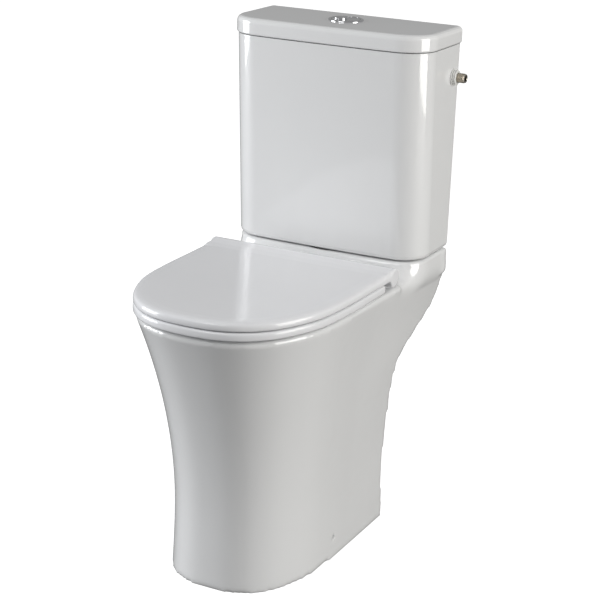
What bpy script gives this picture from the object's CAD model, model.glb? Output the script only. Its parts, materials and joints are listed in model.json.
# %% [markdown]
# A close coupled toilet, with the surfaces and the fine shapes of the real one.
#
# The toilet is a fixed frame of solid pieces: pan, cistern, lid, seat, hinges, flush valve and fixings. This lesson
# gives each of them the surface that it has on the real object, and models anew the pieces whose fine shape matters:
# the thread of the water inlet, its moulded nut, the flush buttons, the bolts, and the soft edges of seat and pan.

import json
import math

import bpy
from mathutils import Matrix, Vector


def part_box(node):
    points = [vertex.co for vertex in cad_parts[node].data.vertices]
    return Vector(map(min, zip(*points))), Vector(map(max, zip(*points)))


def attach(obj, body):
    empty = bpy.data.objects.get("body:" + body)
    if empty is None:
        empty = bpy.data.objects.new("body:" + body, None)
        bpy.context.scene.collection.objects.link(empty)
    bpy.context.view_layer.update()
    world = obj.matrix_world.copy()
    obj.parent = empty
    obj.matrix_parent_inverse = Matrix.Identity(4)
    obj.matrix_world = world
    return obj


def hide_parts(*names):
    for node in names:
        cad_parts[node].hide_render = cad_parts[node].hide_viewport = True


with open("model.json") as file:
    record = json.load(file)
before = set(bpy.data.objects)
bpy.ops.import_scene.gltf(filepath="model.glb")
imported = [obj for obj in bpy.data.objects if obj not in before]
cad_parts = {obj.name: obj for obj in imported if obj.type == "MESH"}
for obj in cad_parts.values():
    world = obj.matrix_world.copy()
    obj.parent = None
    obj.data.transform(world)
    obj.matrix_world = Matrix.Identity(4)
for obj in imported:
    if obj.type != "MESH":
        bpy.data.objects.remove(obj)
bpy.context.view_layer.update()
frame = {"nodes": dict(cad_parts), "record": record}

# %% [markdown]
# The camera stands in front of the toilet and to its right, a little above the lid. A long lens keeps upright lines
# nearly parallel. The camera is turned about its own axis by two degrees.

# %% Camera
AZIMUTH, ELEVATION, ROLL = math.radians(26.56), math.radians(18.167), math.radians(2.063)
CAMERA_PLACE = Vector((1.25435, -2.6097, 1.34189))
LENS = 101.5


def camera_turn():
    """The camera's own axes, as the columns of a rotation."""
    level = math.cos(ELEVATION)
    back = Vector((math.sin(AZIMUTH) * level, -math.cos(AZIMUTH) * level, math.sin(ELEVATION)))
    right = Vector((math.cos(AZIMUTH), math.sin(AZIMUTH), 0))
    up = back.cross(right)
    cosine, sine = math.cos(ROLL), math.sin(ROLL)
    right, up = right * cosine + up * sine, up * cosine - right * sine
    return Matrix((right, up, back)).transposed()


camera = bpy.data.objects.new("camera", bpy.data.cameras.new("camera"))
camera.data.lens = LENS
camera.data.clip_end = 50
camera.matrix_world = Matrix.Translation(CAMERA_PLACE) @ camera_turn().to_4x4()
bpy.context.collection.objects.link(camera)
bpy.context.scene.camera = camera
print("camera at", tuple(round(value, 3) for value in camera.location))

# %% [markdown]
# White glaze shows its form only by what it reflects, so the light comes from large soft panels. One is at the
# left, one at the right, and a weaker one is overhead. Between the two side panels the front of the pan stays darker.

# %% Light and floor
def panel(name, place, target, size, power, tint=(1, 1, 1)):
    light = bpy.data.lights.new(name, "AREA")
    light.shape = "RECTANGLE"
    light.size, light.size_y = size
    light.energy = power
    light.color = tint
    thing = bpy.data.objects.new(name, light)
    thing.location = place
    thing.rotation_euler = (Vector(target) - Vector(place)).to_track_quat("-Z", "Y").to_euler()
    bpy.context.collection.objects.link(thing)


panel("left_panel", (-2.7, -1.3, 1.0), (0, -0.2, 0.5), (1.6, 2.0), 62, (0.97, 0.985, 1))
panel("right_panel", (2.8, 0.0, 1.0), (0, -0.1, 0.5), (1.6, 2.0), 52, (1, 0.985, 0.95))
panel("top_panel", (-0.4, -2.6, 3.0), (0, 0, 0.7), (2.0, 1.4), 31)

world = bpy.data.worlds.new("studio")
world.use_nodes = True
world.node_tree.nodes["Background"].inputs["Color"].default_value = (1, 1, 1, 1)
world.node_tree.nodes["Background"].inputs["Strength"].default_value = 0.3
bpy.context.scene.world = world
bpy.context.scene.view_settings.view_transform = "Standard"

bpy.ops.object.select_all(action="DESELECT")
bpy.ops.mesh.primitive_plane_add(size=30, location=(0, 0, -0.0005))
floor = bpy.context.object
floor.name = "studio_floor"

# %% [markdown]
# No real surface has one colour and one gloss all over. A single node group makes that life for every finish here:
# slow clouds of tone, fine grain, and a height for the bump. Each material then sets how much of each it wants.

# %% A node group for the life of a surface
def add_node(tree, kind, **values):
    made = tree.nodes.new(kind)
    for name, value in values.items():
        setattr(made, name, value)
    return made


def surface_life_group():
    tree = bpy.data.node_groups.new("surface_life", "ShaderNodeTree")
    for name, kind, value in (
        ("Vector", "NodeSocketVector", None),
        ("Tone A", "NodeSocketColor", (0.9, 0.9, 0.9, 1)),
        ("Tone B", "NodeSocketColor", (0.85, 0.85, 0.85, 1)),
        ("Cloud Scale", "NodeSocketFloat", 6.0),
        ("Grain Scale", "NodeSocketFloat", 400.0),
        ("Rough Low", "NodeSocketFloat", 0.1),
        ("Rough High", "NodeSocketFloat", 0.2),
    ):
        made = tree.interface.new_socket(name, in_out="INPUT", socket_type=kind)
        if value is not None:
            made.default_value = value
    for name, kind in (("Color", "NodeSocketColor"), ("Roughness", "NodeSocketFloat"), ("Height", "NodeSocketFloat")):
        tree.interface.new_socket(name, in_out="OUTPUT", socket_type=kind)
    inside = add_node(tree, "NodeGroupInput")
    outside = add_node(tree, "NodeGroupOutput")
    cloud = add_node(tree, "ShaderNodeTexNoise")
    grain = add_node(tree, "ShaderNodeTexNoise")
    cloud.inputs["Detail"].default_value = 3
    grain.inputs["Detail"].default_value = 2
    mix = add_node(tree, "ShaderNodeMix", data_type="RGBA")
    gloss = add_node(tree, "ShaderNodeMapRange")
    link = tree.links.new
    for noise, scale in ((cloud, "Cloud Scale"), (grain, "Grain Scale")):
        link(inside.outputs["Vector"], noise.inputs["Vector"])
        link(inside.outputs[scale], noise.inputs["Scale"])
    link(cloud.outputs["Fac"], mix.inputs["Factor"])
    link(inside.outputs["Tone A"], mix.inputs["A"])
    link(inside.outputs["Tone B"], mix.inputs["B"])
    link(grain.outputs["Fac"], gloss.inputs["Value"])
    link(inside.outputs["Rough Low"], gloss.inputs["To Min"])
    link(inside.outputs["Rough High"], gloss.inputs["To Max"])
    link(mix.outputs["Result"], outside.inputs["Color"])
    link(gloss.outputs["Result"], outside.inputs["Roughness"])
    link(grain.outputs["Fac"], outside.inputs["Height"])
    return tree


surface_life = surface_life_group()
print("group", surface_life.name)


# %% A finish: Principled shader in the material, fed by the group
def finish(name, tone_a, tone_b, rough, cloud=6, grain=400, bump=0.0, metal=0.0, coat=0.0, coat_rough=0.05, ior=1.5):
    made = bpy.data.materials.new(name)
    made.use_nodes = True
    tree = made.node_tree
    shader = tree.nodes["Principled BSDF"]
    shader.inputs["Metallic"].default_value = metal
    shader.inputs["Coat Weight"].default_value = coat
    shader.inputs["Coat Roughness"].default_value = coat_rough
    shader.inputs["IOR"].default_value = ior
    where = add_node(tree, "ShaderNodeTexCoord")
    life = add_node(tree, "ShaderNodeGroup")
    life.node_tree = surface_life
    life.inputs["Tone A"].default_value = (*tone_a, 1)
    life.inputs["Tone B"].default_value = (*tone_b, 1)
    life.inputs["Cloud Scale"].default_value = cloud
    life.inputs["Grain Scale"].default_value = grain
    life.inputs["Rough Low"].default_value, life.inputs["Rough High"].default_value = rough
    link = tree.links.new
    link(where.outputs["Object"], life.inputs["Vector"])
    link(life.outputs["Color"], shader.inputs["Base Color"])
    link(life.outputs["Roughness"], shader.inputs["Roughness"])
    if bump:
        relief = add_node(tree, "ShaderNodeBump")
        relief.inputs["Strength"].default_value = 1.0
        relief.inputs["Distance"].default_value = bump
        link(life.outputs["Height"], relief.inputs["Height"])
        link(relief.outputs["Normal"], shader.inputs["Normal"])
    return made


# %% [markdown]
# The finishes, from large to small: vitreous china under a thick clear glaze, moulded duroplast for the seat, chrome on
# the buttons and hinge posts, three plain moulded plastics, rubber, zinc plated steel and nickel plated brass.

# %% Finishes
FINISHES = {
    "glaze": finish("white_glaze", (0.86, 0.865, 0.87), (0.83, 0.835, 0.84), (0.06, 0.1), cloud=5, grain=60,
                    bump=0.00004, coat=0.6, coat_rough=0.03, ior=1.52),
    "duroplast": finish("white_duroplast", (0.85, 0.855, 0.875), (0.83, 0.835, 0.855), (0.12, 0.16), cloud=8, grain=120,
                        bump=0.00002, coat=0.2, coat_rough=0.06),
    "chrome": finish("polished_chrome", (0.78, 0.785, 0.8), (0.72, 0.725, 0.74), (0.04, 0.09), cloud=30, grain=500,
                     metal=1),
    "white_plastic": finish("white_moulded_plastic", (0.84, 0.84, 0.82), (0.78, 0.78, 0.76), (0.3, 0.42),
                            grain=900, bump=0.00003),
    "grey_plastic": finish("grey_moulded_plastic", (0.36, 0.38, 0.4), (0.3, 0.32, 0.34), (0.35, 0.5),
                           grain=900, bump=0.00003),
    "blue_plastic": finish("blue_moulded_plastic", (0.1, 0.24, 0.46), (0.08, 0.2, 0.4), (0.3, 0.45),
                           grain=900, bump=0.00003),
    "rubber": finish("black_rubber", (0.025, 0.025, 0.027), (0.045, 0.045, 0.047), (0.55, 0.75), grain=1200,
                     bump=0.00005),
    "soft_pad": finish("clear_grey_pad", (0.62, 0.62, 0.62), (0.55, 0.55, 0.55), (0.35, 0.5), grain=600),
    "zinc": finish("zinc_plated_steel", (0.62, 0.61, 0.58), (0.5, 0.5, 0.5), (0.22, 0.4), cloud=80, grain=700,
                   metal=1),
    "nickel": finish("nickel_plated_brass", (0.66, 0.62, 0.55), (0.55, 0.5, 0.42), (0.16, 0.3), cloud=90, grain=600,
                     metal=1),
}
SLOT_FINISH = {
    "glazed_ceramic": "glaze", "seat_plastic": "duroplast", "bright_chrome": "chrome", "white_plastic": "white_plastic",
    "grey_plastic": "grey_plastic", "blue_plastic": "blue_plastic", "black_rubber": "rubber", "soft_pad": "soft_pad",
    "zinc_steel": "zinc", "nickel_brass": "nickel",
}


def wear(thing, name):
    """Gives a thing one finish and nothing else."""
    thing.data.materials.clear()
    thing.data.materials.append(FINISHES[name])


for part in frame["record"]["subparts"]:
    wear(frame["nodes"][part["node"]], SLOT_FINISH[part["material_slot"]])
# The floor shines white to the camera only. To every other ray it is dark, so it throws little light back up.
floor_finish = finish("pale_floor", (0.2, 0.2, 0.2), (0.18, 0.18, 0.18), (0.6, 0.7), cloud=1, grain=20)
sight = add_node(floor_finish.node_tree, "ShaderNodeLightPath")
floor_shader = floor_finish.node_tree.nodes["Principled BSDF"]
floor_shader.inputs["Emission Color"].default_value = (1, 1, 1, 1)
floor_finish.node_tree.links.new(sight.outputs["Is Camera Ray"], floor_shader.inputs["Emission Strength"])
floor.data.materials.append(floor_finish)
print(len(FINISHES), "finishes on", len(frame["nodes"]), "pieces")

# %% [markdown]
# Most small pieces of a toilet are turned on a lathe or moulded round. A lathe is a point that is extruded along the
# piece's outline and then spun once about an axis, so one helper can make a screw thread, a button and a bolt. The
# outline is a list of steps: radius, then height, both in metres.

# %% The lathe
TURN_TO = {"z": (0, 0, 0), "x": (0, math.pi / 2, 0), "y": (-math.pi / 2, 0, 0)}
POINT = 0.001


def select_only(piece):
    bpy.ops.object.select_all(action="DESELECT")
    piece.select_set(True)
    bpy.context.view_layer.objects.active = piece


def settle(piece, place=(0, 0, 0), along="z"):
    """Puts a piece at its place and applies that, so that its object stays at the origin."""
    piece.rotation_euler = TURN_TO[along]
    piece.location = place
    select_only(piece)
    bpy.ops.object.transform_apply(location=True, rotation=True, scale=True)
    return piece


def turned(name, outline, place=(0, 0, 0), along="z", steps=64):
    bpy.ops.object.select_all(action="DESELECT")
    bpy.ops.mesh.primitive_plane_add(size=POINT, location=(0, 0, 0))
    piece = bpy.context.object
    piece.name = name
    bpy.ops.object.mode_set(mode="EDIT")
    bpy.ops.mesh.select_all(action="SELECT")
    bpy.ops.mesh.merge(type="CENTER")
    radius, height = outline[0]
    bpy.ops.transform.translate(value=(radius, 0, height))
    for next_radius, next_height in outline[1:]:
        bpy.ops.mesh.extrude_region_move(
            TRANSFORM_OT_translate={"value": (next_radius - radius, 0, next_height - height)})
        radius, height = next_radius, next_height
    bpy.ops.mesh.select_all(action="SELECT")
    bpy.ops.mesh.spin(steps=steps, angle=math.tau, center=(0, 0, 0), axis=(0, 0, 1))
    bpy.ops.mesh.select_all(action="SELECT")
    bpy.ops.mesh.remove_doubles(threshold=POINT / 100)
    bpy.ops.mesh.normals_make_consistent(inside=False)
    bpy.ops.object.mode_set(mode="OBJECT")
    return settle(piece, place, along)


# %% [markdown]
# Edges catch the light only if they are a little round. A Bevel modifier with an angle limit rounds just the sharp
# ones, and shading by angle keeps flat faces flat.

# %% Soft edges, bores and dressing
def apply_modifier(piece, kind, **values):
    select_only(piece)
    made = piece.modifiers.new(kind.lower(), kind)
    for name, value in values.items():
        setattr(made, name, value)
    bpy.ops.object.modifier_apply(modifier=made.name)
    return piece


def soften(piece, width=0.0005, segments=3, angle=35):
    apply_modifier(piece, "BEVEL", width=width, segments=segments, limit_method="ANGLE",
                   angle_limit=math.radians(angle))
    bpy.ops.object.shade_smooth_by_angle(angle=math.radians(angle))
    return piece


def bored(piece, radius, place, depth, along="z", steps=48):
    """Takes a round hole out of a piece; place is the hole's middle."""
    bpy.ops.object.select_all(action="DESELECT")
    bpy.ops.mesh.primitive_cylinder_add(vertices=steps, radius=radius, depth=depth, location=place,
                                        rotation=TURN_TO[along])
    drill = bpy.context.object
    apply_modifier(piece, "BOOLEAN", operation="DIFFERENCE", solver="EXACT", object=drill)
    bpy.data.objects.remove(drill)
    return piece


def joined(name, *things):
    bpy.ops.object.select_all(action="DESELECT")
    for thing in things:
        thing.select_set(True)
    bpy.context.view_layer.objects.active = things[0]
    bpy.ops.object.join()
    things[0].name = name
    return things[0]


BODY_OF = {node: name for name, body in frame["record"]["behaviour"]["bodies"].items()
           for node in (body["nodes"] if isinstance(body, dict) else body)}
SLOT_OF = {part["node"]: part["material_slot"] for part in frame["record"]["subparts"]}


def stands_for(piece, *nodes):
    """The piece takes the place, the body, the slot and the finish of these frame nodes."""
    wear(piece, SLOT_FINISH[SLOT_OF[nodes[0]]])
    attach(piece, BODY_OF[nodes[0]])
    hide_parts(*nodes)
    print(piece.name, "rides on", BODY_OF[nodes[0]], "with", len(piece.data.polygons), "faces")
    return piece


def thread(radius, low, high, pitch, depth):
    """An outline's steps up a screw thread."""
    steps = []
    for turn in range(int((high - low) / pitch)):
        height = low + turn * pitch
        steps.append((radius - depth, height))
        for out, part in ((-depth, 0.15), (0, 0.45), (0, 0.6), (-depth, 0.9)):
            steps.append((radius + out, height + part * pitch))
    return steps


# %% [markdown]
# The water inlet is a short nickel plated stub with a pipe thread, held by a ribbed white nut against the cistern's
# flank. The thread is made of ridges with the real pitch of 19 to the inch, and is not a true helix.

# %% The inlet stub and its nut
low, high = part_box("inlet_shank")
INLET_Y, INLET_Z = (low.y + high.y) / 2, (low.z + high.z) / 2
STUB_RADIUS, STUB_BORE, PITCH = 0.00833, 0.005, 0.00134
nut_low, nut_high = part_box("inlet_backnut")
start, end = low.x, high.x
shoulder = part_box("inlet_washer")[0].x
flange_radius = (high.z - low.z) / 2
SHANK_RADIUS = STUB_RADIUS - 0.0004
stub_outline = [(STUB_BORE, start), (SHANK_RADIUS, start), (SHANK_RADIUS, shoulder - 0.003),
                (flange_radius - 0.0006, shoulder - 0.003), (flange_radius, shoulder - 0.0024),
                (flange_radius, shoulder), (SHANK_RADIUS, shoulder), (SHANK_RADIUS, nut_high.x + 0.0008)]
stub_outline += thread(STUB_RADIUS, nut_high.x + 0.0008, end - 0.0012, PITCH, 0.0008)
stub_outline += [(STUB_RADIUS - 0.0008, end - 0.001), (STUB_RADIUS - 0.0014, end), (STUB_BORE + 0.0006, end),
                 (STUB_BORE, end - 0.0006), (STUB_BORE, start)]
stub = turned("inlet_stub", stub_outline, (0, INLET_Y, INLET_Z), "x")
bpy.ops.object.shade_smooth_by_angle(angle=math.radians(25))
stands_for(stub, "inlet_shank")

nut_radius, nut_foot = 0.0148, nut_low.x
nut_outline = [(STUB_RADIUS, nut_foot), (nut_radius, nut_foot)]
# each step is how far the ribs stand in from the full radius, and how far they are from the nut's foot
for inward, out in ((0, 0.0022), (0.002, 0.0027), (0.002, 0.0036), (0.001, 0.0041), (0.001, 0.0052),
                    (0.0026, 0.0057), (0.0026, 0.0064), (0.0018, 0.0069)):
    nut_outline.append((nut_radius - inward, nut_foot + out))
nut_outline += [(nut_radius - 0.0018, nut_high.x - 0.0008), (nut_radius - 0.0028, nut_high.x),
                (STUB_RADIUS, nut_high.x), (STUB_RADIUS, nut_foot)]
inlet_nut = turned("inlet_nut", nut_outline, (0, INLET_Y, INLET_Z), "x")
stands_for(soften(inlet_nut, 0.0003, 2), "inlet_backnut")

# %% [markdown]
# The flush buttons are chromed. A wide dished button opens the valve for a full flush, and a small domed one, set to
# the left in it, gives the half flush. Both slide in a raised bezel with a rounded lip.

# %% The bezel
low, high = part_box("button_bezel")
BUTTON_Y = (low.y + high.y) / 2
bezel_radius, bezel_top = (high.x - low.x) / 2, high.z
lid_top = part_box("cistern_lid")[1].z
full_low, full_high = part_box("full_flush_button")
SLIDE_GAP = 0.0004
bore = (full_high.x - full_low.x) / 2 + SLIDE_GAP
rise = bezel_top - lid_top
bezel_outline = [(0, low.z), (bore + 0.0025, low.z), (bore + 0.0025, lid_top), (bezel_radius, lid_top)]
LIP = 0.0032
for turn in (math.pi / 16 * n for n in range(9)):
    lip_height = lid_top + 0.0004 + (rise - 0.0004) * math.sin(turn)
    bezel_outline.append((bezel_radius - LIP * (1 - math.cos(turn)), lip_height))
bezel_outline += [(bore + 0.0014, bezel_top - 0.0001), (bore + 0.0004, bezel_top - 0.0007), (bore, bezel_top - 0.0016),
                  (bore, low.z + 0.002), (0, low.z + 0.002)]
bezel = turned("button_ring", bezel_outline, (0, BUTTON_Y, 0), steps=96)
for rod in ("full_flush_rod", "half_flush_rod"):
    rod_low, rod_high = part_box(rod)
    middle = (rod_low + rod_high) / 2
    bored(bezel, (rod_high.x - rod_low.x) / 2 + SLIDE_GAP, (middle.x, middle.y, low.z), 0.01)
select_only(bezel)
bpy.ops.object.shade_smooth_by_angle(angle=math.radians(30))
stands_for(bezel, "button_bezel")

# %% The full flush button, dished, and the half flush button, domed
DISH = 0.0016
half_low, half_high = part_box("half_flush_button")
half_radius, half_x = (half_high.x - half_low.x) / 2, (half_high.x + half_low.x) / 2
plate_radius, plate_top = bore - SLIDE_GAP, full_high.z
plate_outline = [(0, full_low.z), (plate_radius, full_low.z), (plate_radius, plate_top - 0.0011),
                 (plate_radius - 0.0004, plate_top - 0.0004), (plate_radius - 0.0012, plate_top)]
plate_outline += [(plate_radius * share, plate_top - DISH * (1 - share ** 2)) for share in (0.88, 0.7, 0.5, 0.25, 0)]
plate = turned("full_button_plate", plate_outline, (0, BUTTON_Y, 0), steps=96)
bored(plate, half_radius + SLIDE_GAP, (half_x, BUTTON_Y, full_low.z), 0.04, steps=64)
stands_for(soften(plate, 0.0003, 2, 50), "full_flush_button")

DOME = 0.0026
dome_base = half_high.z - DOME
dome_outline = [(0, half_low.z), (half_radius, half_low.z), (half_radius, dome_base - 0.0006)]
dome_outline += [(half_radius * math.cos(turn), dome_base + DOME * math.sin(turn))
                 for turn in (math.pi / 20 * n for n in range(1, 11))]
dome = turned("half_button_dome", dome_outline, (half_x, BUTTON_Y, 0))
bpy.ops.object.shade_smooth_by_angle(angle=math.radians(35))
stands_for(dome, "half_flush_button")

# %% [markdown]
# Seat and cistern are fixed in the same way: zinc plated studs or bolts with a rolled thread, and white wing nuts
# below. One helper makes the threaded end of both, and another makes every wing nut.

# %% Studs and bolts
def centres(node):
    """The left and right places of a node that comes as a pair."""
    low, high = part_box(node)
    half_width = (high.y - low.y) / 2
    return [(x, (low.y + high.y) / 2) for x in (low.x + half_width, high.x - half_width)], low.z, high.z


STUD_RADIUS, STUD_PITCH, STUD_THREAD_DEPTH = 0.004, 0.00125, 0.0006
STUD_THREAD, BOLT_THREAD = 0.036, 0.04


def threaded_end(low, length):
    """The outline of a stud's lower end, from its middle up to the plain shank."""
    outline = [(0, low), (STUD_RADIUS - 0.0012, low), (STUD_RADIUS - 0.0006, low + 0.0008)]
    outline += thread(STUD_RADIUS, low + 0.001, low + length, STUD_PITCH, STUD_THREAD_DEPTH)
    return outline + [(STUD_RADIUS, low + length + 0.0005)]


places, stud_low, stud_high = centres("seat_studs")
studs = []
for place in places:
    outline = threaded_end(stud_low, STUD_THREAD) + [(STUD_RADIUS, stud_high), (0, stud_high)]
    studs.append(turned("stud", outline, (*place, 0), steps=32))
studs = joined("seat_threaded_studs", *studs)
bpy.ops.object.shade_smooth_by_angle(angle=math.radians(25))
stands_for(studs, "seat_studs")

places, bolt_low, bolt_high = centres("cistern_bolts")
HEAD_RADIUS, HEAD_HEIGHT = 0.009, 0.004
bolts = []
for place in places:
    neck = bolt_high - HEAD_HEIGHT
    outline = threaded_end(bolt_low, BOLT_THREAD) + [(STUD_RADIUS, neck), (HEAD_RADIUS, neck)]
    outline += [(HEAD_RADIUS, bolt_high - 0.0018), (HEAD_RADIUS - 0.001, bolt_high - 0.0008),
                (HEAD_RADIUS - 0.003, bolt_high - 0.0002), (0, bolt_high)]
    bolts.append(turned("bolt", outline, (*place, 0), steps=32))
bolts = joined("cistern_threaded_bolts", *bolts)
bpy.ops.object.shade_smooth_by_angle(angle=math.radians(25))
stands_for(bolts, "cistern_bolts")


# %% Wing nuts
WING_SIZE, WING_REACH, WING_RISE = (0.003, 0.011, 0.008), 0.0105, 0.0045


def wing_nut(place, low, high):
    """A conical hub with two rounded wings that lean outwards, and a bore."""
    outline = [(0.004, low), (0.0075, low), (0.008, low + 0.0008), (0.0066, high - 0.001), (0.0058, high),
               (0.004, high), (0.004, low)]
    hub = turned("hub", outline, (*place, 0), steps=32)
    wings = []
    for side in (-1, 1):
        bpy.ops.object.select_all(action="DESELECT")
        middle = (place[0], place[1] + side * WING_REACH, low + WING_RISE)
        bpy.ops.mesh.primitive_cube_add(size=1, location=middle)
        wing = bpy.context.object
        wing.scale = WING_SIZE
        bpy.ops.object.transform_apply(location=True, rotation=True, scale=True)
        bpy.ops.object.mode_set(mode="EDIT")
        bpy.ops.mesh.select_all(action="DESELECT")
        bpy.ops.object.mode_set(mode="OBJECT")
        for face in wing.data.polygons:
            face.select = face.normal.y * side > 0.5
        bpy.ops.object.mode_set(mode="EDIT")
        bpy.ops.transform.resize(value=(0.7, 1, 1.12), center_override=(place[0], place[1], low))
        bpy.ops.object.mode_set(mode="OBJECT")
        wings.append(soften(wing, 0.0012, 3))
    return soften(joined("wing_nut", hub, *wings), 0.0002, 2, 50)


for node, name in (("seat_wing_nuts", "seat_moulded_nuts"), ("cistern_wing_nuts", "cistern_moulded_nuts")):
    low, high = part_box(node)
    middle_y = (low.y + high.y) / 2
    hub_low = high.z - 0.008
    nuts = [wing_nut((x, middle_y), hub_low, high.z) for x in (low.x + 0.008, high.x - 0.008)]
    stands_for(joined(name, *nuts), node)

# %% [markdown]
# The float is a light moulded block. Its edges are well rounded, and it has a shallow panel in each long side, which
# stiffens the thin wall. The panel is an inset face that is pushed in.

# %% The float
def panelled_block(name, low, high, margin, depth, round_width):
    bpy.ops.object.select_all(action="DESELECT")
    bpy.ops.mesh.primitive_cube_add(size=1, location=(low + high) / 2)
    block = bpy.context.object
    block.name = name
    block.scale = high - low
    bpy.ops.object.transform_apply(location=True, rotation=True, scale=True)
    for side in (-1, 1):
        bpy.ops.object.mode_set(mode="EDIT")
        bpy.ops.mesh.select_all(action="DESELECT")
        bpy.ops.object.mode_set(mode="OBJECT")
        for face in block.data.polygons:
            face.select = face.normal.y * side > 0.5
        bpy.ops.object.mode_set(mode="EDIT")
        bpy.ops.mesh.inset(thickness=margin, depth=0)
        bpy.ops.mesh.inset(thickness=depth, depth=-depth)
        bpy.ops.object.mode_set(mode="OBJECT")
    return soften(block, round_width, 3)


stands_for(panelled_block("float_block", *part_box("float"), 0.008, 0.0015, 0.0012), "float")

# %% [markdown]
# The casting and the seat have no sharp edge anywhere: clay shrinks round in the kiln, and a pressed seat leaves its
# mould with soft edges. A voxel remesh wraps the frame's solids in one even skin, and smoothing melts it. Places
# where the real surface flows from one part into the next get more rounds of smoothing than the rest.

# %% One soft skin round several solids
def skin(name, voxel, rounds, *nodes):
    copies = []
    for node in nodes:
        copy = bpy.data.objects.new(name, frame["nodes"][node].data.copy())
        bpy.context.collection.objects.link(copy)
        copies.append(copy)
    piece = joined(name, *copies)
    bpy.ops.object.mode_set(mode="EDIT")
    bpy.ops.mesh.select_all(action="SELECT")
    bpy.ops.mesh.remove_doubles(threshold=POINT / 1000)
    bpy.ops.object.mode_set(mode="OBJECT")
    apply_modifier(piece, "REMESH", mode="VOXEL", voxel_size=voxel, adaptivity=0)
    return apply_modifier(piece, "SMOOTH", factor=0.5, iterations=rounds)


def melt(piece, rounds, chosen):
    """Smooths only the points that chosen(point) picks."""
    select_only(piece)
    bpy.ops.object.mode_set(mode="EDIT")
    bpy.ops.mesh.select_all(action="DESELECT")
    bpy.ops.object.mode_set(mode="OBJECT")
    for point in piece.data.vertices:
        point.select = chosen(point.co)
    bpy.ops.object.mode_set(mode="EDIT")
    bpy.ops.mesh.select_mode(type="VERT")
    bpy.ops.mesh.vertices_smooth(factor=0.5, repeat=rounds)
    bpy.ops.object.mode_set(mode="OBJECT")
    return piece


def smooth_all(piece):
    select_only(piece)
    bpy.ops.object.shade_smooth()
    return piece


# %% [markdown]
# The seat is two duroplast pressings. The cover sweeps up to its hinge in one soft curve, so the skin is melted most
# there, and the pin holes are drilled again afterwards.

# %% The seat ring and its cover
SEAT_VOXEL, PIN_BORE = 0.002, 0.0042
pin_low, pin_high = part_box("hinge_pin_right")
AXIS_Y, AXIS_Z = (pin_low.y + pin_high.y) / 2, (pin_low.z + pin_high.z) / 2
ring = skin("seat_ring_pressing", SEAT_VOXEL, 3, "seat_ring")
bored(ring, PIN_BORE, (0, AXIS_Y, AXIS_Z), 0.3, "x", 32)
stands_for(smooth_all(ring), "seat_ring")

UPSWEEP, UPSWEEP_ROUNDS = 0.055, 60
KNUCKLE_X, KNUCKLE_LENGTH = 0.155, 0.034
cover = skin("seat_cover_pressing", SEAT_VOXEL, 3, "seat_cover")
flat_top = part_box("seat_ring")[1].z + 0.012
melt(cover, UPSWEEP_ROUNDS, lambda point: point.z > flat_top and AXIS_Y - UPSWEEP < point.y < AXIS_Y + 0.004)
for side in (-1, 1):
    bored(cover, PIN_BORE, (side * KNUCKLE_X, AXIS_Y, AXIS_Z), KNUCKLE_LENGTH, "x", 32)
stands_for(smooth_all(cover), "seat_cover")

# %% [markdown]
# The pan is one casting. Its ledge grows out of the deck with a wide soft hollow, so that hollow is melted hardest.
# The fixing holes are cut last, so they stay crisp.

# %% The pan's outer casting
PAN_VOXEL, LEDGE_ROUNDS = 0.0045, 40
shell_nodes = [node for node in frame["nodes"]
               if node.startswith("pan_") and not node.startswith(("pan_trap", "pan_duct"))]
pan = skin("pan_casting", PAN_VOXEL, 2, *shell_nodes)
deck_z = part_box("pan_deck_front")[1].z
ledge_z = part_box("pan_ledge")[1].z
melt(pan, LEDGE_ROUNDS,
     lambda point: deck_z - 0.03 < point.z < ledge_z - 0.004 and AXIS_Y + 0.028 < point.y < 0.1)
HOLE_X, HOLE_Y, HOLE_Z, HOLE_RADIUS = 0.123, -0.198, 0.038, 0.0048
for side in (-1, 1):
    bored(pan, HOLE_RADIUS, (side * HOLE_X, HOLE_Y, HOLE_Z), 0.05, "x", 32)
stands_for(smooth_all(pan), *shell_nodes)
